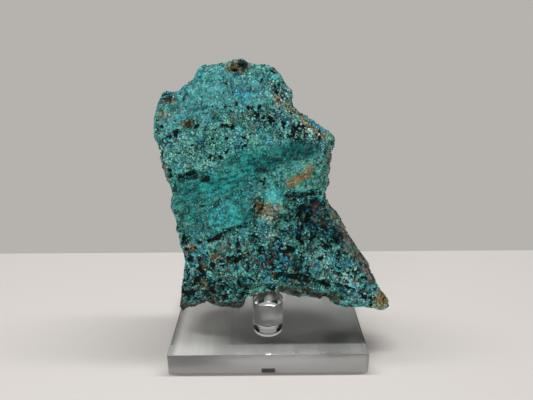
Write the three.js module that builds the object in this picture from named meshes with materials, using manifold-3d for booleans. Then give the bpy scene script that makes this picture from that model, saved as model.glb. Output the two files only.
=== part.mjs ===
// Chrysocolla specimen: a leaning slab of blue-green crust on grey-brown rock, stuck on the peg of a
// clear acrylic stand. Units are millimetres, +Z is up, and the crusted face looks along -Y.
// The origin is on the underside of the base, on the axis of the peg.
import * as THREE from "three";
import { ImprovedNoise } from "three/addons/math/ImprovedNoise.js";
import { mergeVertices } from "three/addons/utils/BufferGeometryUtils.js";
import Module from "manifold-3d";

const wasm = await Module();
wasm.setup();

// Stand
const baseWidth = 76;
const baseDepth = 51;
const baseThickness = 8.5;
const baseEdgeBevel = 0.4;
const pegRadius = 6;
const pegHeight = 14;
const pegEdgeBevel = 0.3;
const pegFromFront = 16;
const spigotRadius = 3.4;
const spigotLength = 4;
const jointGap = 0.3;
const roundSides = 48;
const pegFoot = baseThickness + jointGap;
const pegTop = pegFoot + pegHeight;

// Adhesive dab
const dabRadius = 3.3;
const dabHeight = 1.9;
const dabCentre = [0.6, -0.9];
const dabRings = 5;
const dabSides = 28;

// Rock
const rockDetail = 20; // the sphere it starts from has 20 * (detail + 1)^2 faces
const rockCentre = [-4, 63]; // x, z that every corner of the outline can be seen from
const rimAngle = 80; // degrees from the middle of a face to its rim, on that sphere
const evenings = 40; // how many times the faces' points are evened out
const leanFoot = 20; // height at which the front rim stands at y = 0
const lean = 0.15; // mm back for each mm up
const wall = { thickness: 12, frontInset: 0.3, backInset: 3 };
const crest = { from: 60, to: 112, thinning: 3.5 }; // heights over which the wall thins by so much
const tail = { from: 20, to: 48, thinning: 4 }; // the same along x
const frontBulge = { height: 5.5, reach: 10 }; // how far the face stands out, and how soon
const backBulge = { height: 6, reach: 12 };
const formsFade = 4; // how far in from the rim the forms of a face reach their full height
const ledgeHalfWidth = 1.6;
const grooveShare = 0.4; // depth of the groove at a ledge's foot, as a share of the ledge
const seat = { at: [0.4, 7.5], size: [7, 5], drop: 4.2, from: 28, to: 36 }; // the underside comes down here
const seatMargin = 3.4; // how far past the peg and the dab the underside keeps clear
const dabMargin = 1.5;

// Silhouette of the rock as [x, z] corners, clockwise from the crest.
const outline = [
  [-8.4, 111.2], [-5, 109.3], [-0.2, 109.6], [3.8, 107.8], [6, 104.7], [8.2, 102.6], [10, 100],
  [8.8, 97], [9.8, 94.8], [15.8, 91.6], [20.8, 88], [25, 83.6], [24.2, 79], [21.2, 66.8],
  [22.2, 62.4], [28, 52.7], [33.7, 43.9], [37.5, 37.4], [40.6, 34.4], [41.4, 29.6], [45.2, 23.6],
  [48.9, 19.4], [48.9, 16.6], [43, 16.3], [36, 18], [29.5, 18.8], [25.5, 21.2], [21, 22.7],
  [13, 23.8], [6, 24.4], [0.6, 26.8], [-3.4, 25.2], [-7.2, 22.8], [-10.4, 18.4], [-19.4, 18.6],
  [-26.2, 20], [-34.4, 17.4], [-34.8, 21], [-34, 28], [-32.7, 36], [-33, 42.4], [-35.6, 54.2],
  [-37.2, 59.2], [-36.4, 64.2], [-39.4, 73.8], [-39.2, 78.4], [-40.8, 86.3], [-40.8, 91.5],
  [-40.2, 95], [-38.8, 100.4], [-36.2, 102], [-33, 100.3], [-28.6, 102.9], [-25.9, 105.6],
  [-24, 108.8], [-21.8, 109.9], [-18.1, 109.3], [-15.4, 110.9], [-12, 111.1],
];

// Broad forms of the crusted face: place [x, z], half sizes, turn of the long side in degrees from
// +X towards +Z, and how far each one stands out. A hollow has a negative rise. The silky ones
// have less roughness than the rest.
const frontForms = [
  { name: "crest dome", at: [-9, 101], size: [14, 8], turn: 5, rise: 2 },
  { name: "crest pit", at: [-9.7, 108.4], size: [2.8, 2.4], turn: 0, rise: -2.4 },
  { name: "left knob", at: [-35, 98], size: [3.8, 3.4], turn: 0, rise: 2.4 },
  { name: "knob hollow", at: [-33.4, 97.4], size: [2, 2.2], turn: 0, rise: -2.6 },
  { name: "weathered boss", at: [-36, 91.5], size: [4.6, 3.6], turn: 0, rise: 1.8 },
  { name: "hollow beside boss", at: [-27.8, 92], size: [3.4, 2], turn: -10, rise: -1.5 },
  { name: "speckled shelf", at: [-10, 84], size: [27, 7], turn: 17, rise: 1.8 },
  { name: "black gap", at: [-28.3, 74], size: [3.8, 1.8], turn: 12, rise: -2 },
  { name: "upper right slope", at: [12, 89], size: [11, 4], turn: -38, rise: 1.6 },
  { name: "smooth trough", at: [-17, 70], size: [22, 6], turn: 20, rise: -1.5, silky: true },
  { name: "trough end", at: [6, 79.6], size: [14, 3.4], turn: 3, rise: -1.1, silky: true },
  { name: "pillow", at: [-16.5, 59], size: [12, 6.6], turn: 14, rise: 2.3, silky: true },
  { name: "crevice", at: [-4.2, 61.6], size: [2.4, 4.4], turn: -28, rise: -2.4 },
  { name: "right block", at: [12.5, 73], size: [11, 6.4], turn: 6, rise: 2.6, silky: true },
  { name: "light facet", at: [1.8, 66.6], size: [4.4, 5], turn: 20, rise: 2.2, silky: true },
  { name: "tan knot", at: [0.8, 59.6], size: [3.2, 3], turn: 0, rise: 1.5 },
  { name: "dark recess", at: [20, 55], size: [9, 8], turn: -30, rise: -3.6 },
  { name: "lower ridge", at: [13, 42.6], size: [21, 4.6], turn: -24, rise: 2.8 },
  { name: "low recess", at: [9, 32.4], size: [9, 4], turn: -6, rise: -2.6 },
  { name: "left foot", at: [-20, 38], size: [11, 10], turn: 20, rise: 1.6 },
  { name: "foot hollow", at: [-9, 28], size: [5, 4], turn: 20, rise: -1.4 },
  { name: "tail", at: [38, 27], size: [9, 5], turn: -42, rise: 1.6 },
];

// Ledges of the crusted face. The face stands out by the step on the right of each line, walking
// along it, or on the left where the step is negative, and the step dies away over the reach.
const frontLedges = [
  { name: "block overhang", path: [[2.4, 72.4], [7.4, 68], [13, 67], [21, 69.6]], step: -2.8, reach: 7 },
  { name: "block crown", path: [[23, 79], [10, 79], [-4, 76.4]], step: -0.8, reach: 6 },
  { name: "facet edge", path: [[2.4, 72.4], [5.4, 65.6], [7, 61]], step: 1.6, reach: 5 },
  { name: "fold over pillow", path: [[-7, 66.6], [-17, 66], [-28, 61.4]], step: 0.9, reach: 5 },
  { name: "pillow crack", path: [[-22, 49.2], [-15.6, 52], [-8.4, 56.2], [-4.2, 62]], step: -1.1, reach: 7 },
  { name: "brow over low recess", path: [[1, 35.2], [12, 35.4], [27, 31]], step: -1.8, reach: 6 },
];

// Broken forms of the rock's back.
const backForms = [
  { name: "upper swell", at: [-12, 90], size: [18, 13], turn: -15, rise: 3 },
  { name: "middle hollow", at: [-6, 66], size: [16, 8], turn: 28, rise: -3.2 },
  { name: "lower boss", at: [-18, 44], size: [13, 10], turn: 10, rise: 3.4 },
  { name: "tail spine", at: [22, 38], size: [20, 6], turn: -38, rise: 2.6 },
  { name: "side chip", at: [18, 74], size: [8, 9], turn: 20, rise: -2 },
  { name: "foot chip", at: [-30, 26], size: [7, 7], turn: 0, rise: -2.2 },
];
const backLedges = [
  { name: "long break", path: [[26, 58], [4, 56], [-16, 72], [-34, 84]], step: 2.8, reach: 12 },
  { name: "short break", path: [[2, 104], [-4, 88], [6, 76]], step: 2, reach: 9 },
];

// Roughness of the rock: size is a lump's width, height its swing.
const lumps = [{ size: 8, height: 3 }, { size: 4.6, height: 2.2 }];
const waves = [{ size: 11, height: 1 }, { size: 5, height: 0.7 }];
const lumpMean = 0.7;
const ovalSharpness = 1.3; // how flat-topped the forms are; 1 is a plain bell
const weldDistance = 1e-4;
const silkyShare = 0.4; // how much of the roughness the silky forms have
const wallRoughness = 0.6;

const noise = new ImprovedNoise();
const degrees = Math.PI / 180;

// 0 before the first edge and 1 after the second, turning smoothly between them.
function ramp(value, from, to) {
  const t = THREE.MathUtils.clamp((value - from) / (to - from), 0, 1);
  return t * t * (3 - 2 * t);
}

// Offset from the nearest point of a path to x, z: its length, and which side of the path it is on.
function fromPath(path, x, z) {
  let nearest = { distance: Infinity, side: 1 };
  for (let i = 0; i + 1 < path.length; i++) {
    const [ax, az] = path[i];
    const [bx, bz] = [path[i + 1][0] - ax, path[i + 1][1] - az];
    const share = THREE.MathUtils.clamp(((x - ax) * bx + (z - az) * bz) / (bx * bx + bz * bz), 0, 1);
    const [dx, dz] = [x - ax - share * bx, z - az - share * bz];
    const distance = Math.hypot(dx, dz);
    if (distance < nearest.distance) nearest = { distance, side: Math.sign(dx * bz - dz * bx) };
  }
  return nearest;
}

const closedOutline = [...outline, outline[0]];
const outlinePath = new THREE.Path(closedOutline.map(([x, z]) => new THREE.Vector2(x, z)));

// An oval form at x, z: 1 at its middle, fading past its half sizes.
function oval({ at, size, turn }, x, z) {
  const [c, s] = [Math.cos(turn * degrees), Math.sin(turn * degrees)];
  const [dx, dz] = [x - at[0], z - at[1]];
  const along = (dx * c + dz * s) / size[0];
  const across = (dz * c - dx * s) / size[1];
  return Math.exp(-Math.pow(along * along + across * across, ovalSharpness));
}

// Height that a ledge gives at x, z: a step at its line, with a slight groove at its foot.
function ledge({ path, step, reach }, x, z) {
  const { distance, side } = fromPath(path, x, z);
  const signed = distance * side * Math.sign(step);
  const fade = Math.exp(-Math.pow(distance / reach, 2));
  const top = ramp(signed, -ledgeHalfWidth, ledgeHalfWidth);
  return Math.abs(step) * fade * (top - grooveShare * (1 - top));
}

function relief(forms, ledges, x, z) {
  const ovals = forms.reduce((sum, form) => sum + form.rise * oval(form, x, z), 0);
  return ledges.reduce((sum, one) => sum + ledge(one, x, z), ovals);
}

// A repeatable number from 0 to 1 for a cell of space.
function cellNumber(i, j, k, salt) {
  const s = Math.sin(i * 127.1 + j * 311.7 + k * 74.7 + salt * 53.3) * 43758.5453;
  return s - Math.floor(s);
}

// Rounded lumps packed against each other: 1 at a lump's crown, falling to 0 between lumps.
function lumpiness({ x, y, z }, size) {
  const [ci, cj, ck] = [x, y, z].map((value) => Math.floor(value / size));
  let nearest = Infinity;
  for (let i = ci - 1; i <= ci + 1; i++) {
    for (let j = cj - 1; j <= cj + 1; j++) {
      for (let k = ck - 1; k <= ck + 1; k++) {
        const dx = (i + cellNumber(i, j, k, 1)) * size - x;
        const dy = (j + cellNumber(i, j, k, 2)) * size - y;
        const dz = (k + cellNumber(i, j, k, 3)) * size - z;
        nearest = Math.min(nearest, Math.hypot(dx, dy, dz) / size);
      }
    }
  }
  return Math.max(0, 1 - nearest * nearest);
}

// How far the rough rock stands out of its broad shape at a point.
function roughness(point) {
  let height = 0;
  for (const { size, height: swing } of lumps) height += swing * (lumpiness(point, size) - lumpMean);
  for (const { size, height: swing } of waves) {
    height += swing * noise.noise(point.x / size, point.y / size, point.z / size);
  }
  return height;
}

// How thick the rock's edge is: thinner towards the crest and the tail.
function edgeThickness(x, z) {
  const atCrest = crest.thinning * ramp(z, crest.from, crest.to);
  const atTail = tail.thinning * ramp(x, tail.from, tail.to);
  return wall.thickness - atCrest - atTail;
}

// The part of the rock that a direction of the unit sphere stands for, and its place [x, z] there.
// Each face reaches out from its middle to the outline, and the wall runs round between the rims.
function rockPlace(direction) {
  const fromFront = Math.acos(THREE.MathUtils.clamp(-direction.y, -1, 1)) / degrees;
  const fromMiddle = Math.min(fromFront, 180 - fromFront);
  const side = fromMiddle > rimAngle ? "wall" : fromFront < 90 ? "front" : "back";
  const across = (fromFront - rimAngle) / (180 - 2 * rimAngle); // 0 at the front rim, 1 at the back
  const inset = wall.frontInset * ramp(across, 1 / 3, 0) + wall.backInset * ramp(across, 1 / 3, 1);
  const turn = Math.atan2(-direction.z, direction.x) / (2 * Math.PI) + 0.25;
  const rim = outlinePath.getPointAt(turn - Math.floor(turn));
  const faceReach = Math.sin((fromMiddle / 2) * degrees) / Math.sin((rimAngle / 2) * degrees);
  const reach = side === "wall" ? 1 : faceReach;
  const inward = new THREE.Vector2(rockCentre[0] - rim.x, rockCentre[1] - rim.y).setLength(inset);
  const place = rim.add(inward).sub(new THREE.Vector2(...rockCentre)).multiplyScalar(reach);
  return { side, across, x: rockCentre[0] + place.x, z: rockCentre[1] + place.y };
}

// The points of a face move to the middle of their neighbours, and those of the wall stay.
function evenOut(places, neighbours) {
  for (let round = 0; round < evenings; round++) {
    const middles = places.map((place, i) => {
      if (place.side === "wall") return place;
      const around = neighbours[i].map((j) => places[j]);
      const x = around.reduce((sum, other) => sum + other.x, 0) / around.length;
      const z = around.reduce((sum, other) => sum + other.z, 0) / around.length;
      return { ...place, x, z };
    });
    places.splice(0, places.length, ...middles);
  }
}

// Depth of the rock's broad shape at a place.
function rockDepth({ side, across, x, z }) {
  const frontRim = (z - leanFoot) * lean;
  const thickness = edgeThickness(x, z);
  if (side === "wall") return frontRim + across * thickness;
  const { distance } = fromPath(closedOutline, x, z);
  const { height, reach } = side === "front" ? frontBulge : backBulge;
  const bulge = height * (1 - Math.exp(-distance / reach));
  const fade = ramp(distance, 0, formsFade);
  if (side === "front") return frontRim - bulge - fade * relief(frontForms, frontLedges, x, z);
  return frontRim + thickness + bulge + fade * relief(backForms, backLedges, x, z);
}

function roughShare({ side, x, z }) {
  if (side === "wall") return wallRoughness;
  if (side === "back") return 1;
  const silkyForms = frontForms.filter((form) => form.silky);
  const silky = silkyForms.reduce((sum, form) => sum + oval(form, x, z), 0);
  return THREE.MathUtils.lerp(1, silkyShare, Math.min(1, silky));
}

// The underside comes down onto the peg and keeps clear of the peg and the dab.
function seated(point) {
  const [dx, dy] = [(point.x - seat.at[0]) / seat.size[0], (point.y - seat.at[1]) / seat.size[1]];
  point.z -= seat.drop * Math.exp(-dx * dx - dy * dy) * ramp(point.z, seat.to, seat.from);
  const fromPeg = Math.hypot(point.x, point.y);
  const fromDab = Math.hypot(point.x - dabCentre[0], point.y - dabCentre[1]);
  if (fromPeg < pegRadius + seatMargin) point.z = Math.max(point.z, pegTop + jointGap);
  if (fromDab < dabRadius + dabMargin) point.z = Math.max(point.z, pegTop + dabHeight + 2 * jointGap);
  return point;
}

function neighbourLists(geometry) {
  const lists = Array.from({ length: geometry.getAttribute("position").count }, () => new Set());
  const corners = geometry.index.array;
  for (let i = 0; i < corners.length; i += 3) {
    const face = [corners[i], corners[i + 1], corners[i + 2]];
    for (const a of face) face.filter((b) => b !== a).forEach((b) => lists[a].add(b));
  }
  return lists.map((list) => [...list]);
}

function rockGeometry() {
  const sphere = new THREE.IcosahedronGeometry(1, rockDetail);
  sphere.deleteAttribute("normal");
  sphere.deleteAttribute("uv");
  const geometry = mergeVertices(sphere, weldDistance);
  const position = geometry.getAttribute("position");
  const point = new THREE.Vector3();
  const places = [];
  for (let i = 0; i < position.count; i++) {
    places.push(rockPlace(point.fromBufferAttribute(position, i).normalize()));
  }
  evenOut(places, neighbourLists(geometry));
  places.forEach((place, i) => position.setXYZ(i, place.x, rockDepth(place), place.z));
  geometry.computeVertexNormals();
  const outward = new THREE.Vector3();
  places.forEach((place, i) => {
    point.fromBufferAttribute(position, i);
    outward.fromBufferAttribute(geometry.getAttribute("normal"), i);
    point.addScaledVector(outward, roughness(point) * roughShare(place));
    position.setXYZ(i, ...seated(point));
  });
  geometry.computeVertexNormals();
  return geometry;
}

// The block is an outline extruded with its edges eased, laid flat.
function blockGeometry() {
  const [halfWidth, halfDepth] = [baseWidth / 2 - baseEdgeBevel, baseDepth / 2 - baseEdgeBevel];
  const shape = new THREE.Shape([
    new THREE.Vector2(-halfWidth, -halfDepth),
    new THREE.Vector2(halfWidth, -halfDepth),
    new THREE.Vector2(halfWidth, halfDepth),
    new THREE.Vector2(-halfWidth, halfDepth),
  ]);
  const block = new THREE.ExtrudeGeometry(shape, {
    depth: baseThickness - 2 * baseEdgeBevel,
    bevelEnabled: true,
    bevelThickness: baseEdgeBevel,
    bevelSize: baseEdgeBevel,
    bevelSegments: 1,
  });
  return block.translate(0, baseDepth / 2 - pegFromFront, baseEdgeBevel);
}

function turned(points, sides = roundSides) {
  const profile = points.map(([r, z]) => new THREE.Vector2(r, z));
  return new THREE.LatheGeometry(profile, sides).rotateX(Math.PI / 2);
}

function toSolid(geometry) {
  geometry.deleteAttribute("normal");
  geometry.deleteAttribute("uv");
  const merged = mergeVertices(geometry, weldDistance);
  const triVerts = new Uint32Array(merged.index.array);
  const vertProperties = merged.getAttribute("position").array;
  return new wasm.Manifold(new wasm.Mesh({ numProp: 3, vertProperties, triVerts }));
}

function toGeometry(solid) {
  const { vertProperties, triVerts } = solid.getMesh();
  const geometry = new THREE.BufferGeometry();
  geometry.setAttribute("position", new THREE.BufferAttribute(vertProperties, 3));
  geometry.setIndex(new THREE.BufferAttribute(triVerts, 1));
  geometry.computeVertexNormals();
  return geometry;
}

// The block has a blind socket for the peg's spigot.
function baseGeometry() {
  const socketDepth = spigotLength + jointGap;
  const socketRadius = spigotRadius + jointGap;
  const cutter = turned([
    [0, baseThickness - socketDepth],
    [socketRadius, baseThickness - socketDepth],
    [socketRadius, baseThickness + 1],
    [0, baseThickness + 1],
  ]);
  return toGeometry(toSolid(blockGeometry()).subtract(toSolid(cutter)));
}

function pegGeometry() {
  return turned([
    [0, pegFoot - spigotLength],
    [spigotRadius, pegFoot - spigotLength],
    [spigotRadius, pegFoot],
    [pegRadius - pegEdgeBevel, pegFoot],
    [pegRadius, pegFoot + pegEdgeBevel],
    [pegRadius, pegTop - pegEdgeBevel],
    [pegRadius - pegEdgeBevel, pegTop],
    [0, pegTop],
  ]);
}

// The dab is a low dome on the peg's top.
function dabGeometry() {
  const foot = pegTop + jointGap;
  const profile = [[0, foot]];
  for (let i = 0; i < dabRings; i++) {
    const rise = (i / dabRings) * 90 * degrees;
    profile.push([dabRadius * Math.cos(rise), foot + dabHeight * Math.sin(rise)]);
  }
  profile.push([0, foot + dabHeight]);
  return turned(profile, dabSides).translate(dabCentre[0], dabCentre[1], 0);
}

function named(name, geometry, material) {
  const mesh = new THREE.Mesh(geometry, material);
  mesh.name = name;
  return mesh;
}

function rockMaterial() {
  const faceted = { flatShading: true };
  return new THREE.MeshStandardMaterial({ color: 0x1f8f8c, roughness: 0.75, metalness: 0, ...faceted });
}

function acrylicMaterial() {
  const clear = { transparent: true, opacity: 0.35 };
  return new THREE.MeshStandardMaterial({ color: 0xf2f5f5, roughness: 0.04, metalness: 0, ...clear });
}

function adhesiveMaterial() {
  return new THREE.MeshStandardMaterial({ color: 0xe4e2dc, roughness: 0.35, metalness: 0 });
}

const specimen = new THREE.Group();
specimen.add(
  named("chrysocolla_rock", rockGeometry(), rockMaterial()),
  named("acrylic_base", baseGeometry(), acrylicMaterial()),
  named("acrylic_peg", pegGeometry(), acrylicMaterial()),
  named("adhesive_dab", dabGeometry(), adhesiveMaterial()),
);

export default specimen;
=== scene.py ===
import math

import bpy
import numpy as np
from mathutils import Matrix, Vector, noise


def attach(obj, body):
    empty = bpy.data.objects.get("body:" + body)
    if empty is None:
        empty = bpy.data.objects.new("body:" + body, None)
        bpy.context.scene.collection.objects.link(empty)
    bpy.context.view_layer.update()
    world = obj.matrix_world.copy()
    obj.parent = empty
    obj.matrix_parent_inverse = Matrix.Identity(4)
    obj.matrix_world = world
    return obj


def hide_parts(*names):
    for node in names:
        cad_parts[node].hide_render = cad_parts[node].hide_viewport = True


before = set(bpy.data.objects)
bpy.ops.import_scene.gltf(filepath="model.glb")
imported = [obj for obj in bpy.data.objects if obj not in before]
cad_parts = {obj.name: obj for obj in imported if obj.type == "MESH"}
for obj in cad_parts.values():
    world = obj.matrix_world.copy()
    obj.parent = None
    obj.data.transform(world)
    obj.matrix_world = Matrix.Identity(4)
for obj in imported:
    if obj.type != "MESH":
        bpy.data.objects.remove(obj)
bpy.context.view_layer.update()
mm = 0.001
chance = np.random.default_rng(7)
noise.seed_set(2)  # noise_vector would otherwise start from the clock


def pick(*pieces):
    bpy.ops.object.select_all(action="DESELECT")
    for piece in pieces:
        piece.select_set(True)
    bpy.context.view_layer.objects.active = pieces[0]


def ramp(value, start, end):
    t = np.clip((value - start) / (end - start), 0, 1)
    return t * t * (3 - 2 * t)


def paint(code):
    # a colour written as on a paint card, in the light units that Blender uses
    parts = [int(code[i : i + 2], 16) / 255 for i in (0, 2, 4)]
    return tuple([(p / 12.92 if p <= 0.04045 else ((p + 0.055) / 1.055) ** 2.4) for p in parts] + [1.0])


print("camera, light and table")
view = {"place": (-1.048, -140.605, 120.897), "pitch": 21.795, "yaw": 0.275, "roll": -0.240, "lens": 28.388}
studio = {
    "wall": paint("b6b2ad"),
    "fill": 0.16,
    "table": paint("e2ddd9"),
    "tableGap": 0.02,
    "tableBack": 79,
    "tableReach": 900,
    "grain": (2.5, 0.05, 0.3),  # its size and the depth and strength of its bumps
    "target": (0, 5, 50),
    "lamps": [
        # a long tube overhead and a little behind, and a soft panel in front
        {"at": (0, 88, 600), "size": (1000, 40), "watts": 3.6},
        {"at": (-100, -490, 125), "size": (420, 200), "watts": 1.95},
    ],
}


def addCamera():
    pitch, yaw, roll = (math.radians(view[name]) for name in ("pitch", "yaw", "roll"))
    ahead = Vector((math.sin(yaw) * math.cos(pitch), math.cos(yaw) * math.cos(pitch), -math.sin(pitch)))
    level = Vector((math.cos(yaw), -math.sin(yaw), 0))
    upright = level.cross(ahead)
    right = math.cos(roll) * level + math.sin(roll) * upright
    up = math.cos(roll) * upright - math.sin(roll) * level
    bpy.ops.object.camera_add()
    camera = bpy.context.object
    turn = Matrix((right, up, -ahead)).transposed().to_4x4()
    camera.matrix_world = Matrix.Translation(Vector(view["place"]) * mm) @ turn
    camera.data.sensor_fit = "HORIZONTAL"
    camera.data.sensor_width = 36
    camera.data.lens = view["lens"]
    camera.data.clip_start = 0.01
    bpy.context.scene.camera = camera


def addLamps():
    target = Vector(studio["target"]) * mm
    for lamp in studio["lamps"]:
        place = Vector(lamp["at"]) * mm
        bpy.ops.object.light_add(type="AREA", location=place)
        light = bpy.context.object
        light.data.shape = "RECTANGLE"
        light.data.size, light.data.size_y = (side * mm for side in lamp["size"])
        light.data.energy = lamp["watts"]
        light.rotation_euler = (target - place).to_track_quat("-Z", "Y").to_euler()


class Wire:
    # a socket that can be used in sums
    def __init__(self, finish, socket):
        self.finish = finish
        self.socket = socket

    def __add__(self, other):
        return self.finish.maths("ADD", self, other)

    def __radd__(self, other):
        return self.finish.maths("ADD", other, self)

    def __sub__(self, other):
        return self.finish.maths("SUBTRACT", self, other)

    def __rsub__(self, other):
        return self.finish.maths("SUBTRACT", other, self)

    def __mul__(self, other):
        return self.finish.maths("MULTIPLY", self, other)

    def __rmul__(self, other):
        return self.finish.maths("MULTIPLY", other, self)

    def limit(self):
        return self.finish.maths("MULTIPLY", self, 1.0, clamp=True)


class Finish:
    def __init__(self, name):
        self.material = bpy.data.materials.new(name)
        self.material.use_nodes = True
        self.tree = self.material.node_tree
        self.tree.nodes.clear()

    def node(self, kind, settings=None, inputs=None, output=0):
        made = self.tree.nodes.new(kind)
        for name, value in (settings or {}).items():
            setattr(made, name, value)
        for name, value in (inputs or {}).items():
            if isinstance(value, Wire):
                self.tree.links.new(value.socket, made.inputs[name])
            else:
                made.inputs[name].default_value = value
        return None if output is None else Wire(self, made.outputs[output])

    def maths(self, operation, first, second, clamp=False):
        settings = {"operation": operation, "use_clamp": clamp}
        return self.node("ShaderNodeMath", settings, {0: first, 1: second})

    def mix(self, share, first, second):
        inputs = {0: share, 6: first, 7: second}
        return self.node("ShaderNodeMix", {"data_type": "RGBA"}, inputs, output=2)

    def field(self, name, output="Fac"):
        return self.node("ShaderNodeAttribute", {"attribute_name": name}, output=output)

    def place(self):
        return self.node("ShaderNodeTexCoord", output="Object")

    def shifted(self, place, offset, more=None):
        moved = self.node("ShaderNodeVectorMath", {"operation": "ADD"}, {0: place, 1: offset})
        if more is None:
            return moved
        push = self.node("ShaderNodeVectorMath", {"operation": "SCALE"}, {0: (mm, mm, mm), "Scale": more})
        return self.node("ShaderNodeVectorMath", {"operation": "ADD"}, {0: moved, 1: push})

    def stretched(self, place, turn, stretch):
        # a pattern read from this runs long in a direction turned from +X towards +Z
        inputs = {"Vector": place, "Rotation": (0, -math.radians(turn), 0), "Scale": (stretch, 1, 1)}
        return self.node("ShaderNodeMapping", {"vector_type": "TEXTURE"}, inputs)

    def clouds(self, size, detail=3, place=None):
        inputs = {"Vector": place or self.place(), "Scale": 1 / (size * mm), "Detail": detail}
        return self.node("ShaderNodeTexNoise", {}, inputs, output=0)

    def cells(self, size, feature="F1", place=None, output="Distance"):
        inputs = {"Vector": place or self.place(), "Scale": 1 / (size * mm)}
        return self.node("ShaderNodeTexVoronoi", {"feature": feature}, inputs, output=output)

    def step(self, value, start, end):
        settings = {"interpolation_type": "SMOOTHSTEP"}
        inputs = {"Value": value, "From Min": start, "From Max": end}
        return self.node("ShaderNodeMapRange", settings, inputs)

    def bump(self, height, depth, strength):
        inputs = {"Height": height, "Distance": depth * mm, "Strength": strength}
        return self.node("ShaderNodeBump", {}, inputs)

    def surface(self, **inputs):
        named = {name.replace("_", " "): value for name, value in inputs.items()}
        shader = self.node("ShaderNodeBsdfPrincipled", {}, named)
        self.node("ShaderNodeOutputMaterial", {}, {"Surface": shader}, output=None)
        return self.material


def addTable():
    back, reach = studio["tableBack"], studio["tableReach"]
    bpy.ops.mesh.primitive_plane_add(size=1)
    table = bpy.context.object
    table.name = "table"
    table.scale = (2 * reach * mm, (back + reach) * mm, 1)
    table.location = (0, (back - reach) / 2 * mm, -studio["tableGap"] * mm)
    bpy.ops.object.transform_apply(location=True, rotation=True, scale=True)
    finish = Finish("tableTop")
    size, depth, strength = studio["grain"]
    height = finish.bump(finish.clouds(size), depth, strength)
    table.data.materials.append(finish.surface(Base_Color=studio["table"], Roughness=0.6, Normal=height))


def addWall():
    # the wall is seen as it is, and lights the room less than its colour says, as a far wall does
    world = bpy.data.worlds.new("room")
    world.use_nodes = True
    nodes, links = world.node_tree.nodes, world.node_tree.links
    nodes.clear()
    seen, fill = nodes.new("ShaderNodeBackground"), nodes.new("ShaderNodeBackground")
    for background, strength in ((seen, 1.0), (fill, studio["fill"])):
        background.inputs["Color"].default_value = studio["wall"]
        background.inputs["Strength"].default_value = strength
    ray, either = nodes.new("ShaderNodeLightPath"), nodes.new("ShaderNodeMixShader")
    links.new(ray.outputs["Diffuse Depth"], either.inputs[0])
    links.new(seen.outputs[0], either.inputs[1])
    links.new(fill.outputs[0], either.inputs[2])
    links.new(either.outputs[0], nodes.new("ShaderNodeOutputWorld").inputs["Surface"])
    bpy.context.scene.world = world


addCamera()
addLamps()
addTable()
addWall()
bpy.context.scene.view_settings.view_transform = "Standard"


# where things are on the crusted face
# A zone covers the ones before it. Its ovals are (x, z, half length, half width, turn in degrees,
# strength) and its lines (path, half width, strength), in millimetres as seen from the front. Deep,
# lit and pale are the tones of its skin, and crystals are the tones of what stands on it, with their
# weights. Vugs says how much of it is black holes, rust brown specks and silk smooth skin, coarse
# how much has large rings, and thick how densely the crystals stand; what isn't given is 0.
tones = {
    "black": "0b1313", "soot": "1b2626", "umber": "3b2c1f", "brown": "62492f", "rust": "93602e",
    "ochre": "a5823f", "sand": "b5a980", "bone": "dcdfd0", "abyss": "082c30", "deepTeal": "0b5152",
    "teal": "127a77", "sea": "269c98", "green": "128d85", "turquoise": "45b3b4", "aqua": "6cd2d0",
    "mint": "8fd8c4", "paleMint": "c4e2d8", "sky": "56bde2", "azure": "2089b4", "cyan": "25b4c0",
    "slate": "3f7783", "moss": "4d8a6c", "jade": "3a8068", "lagoon": "25a8a3", "herb": "63bdad",
    "steel": "5f959c", "stone": "706e66", "darkStone": "3d382f", "paleStone": "9a978c",
}
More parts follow.
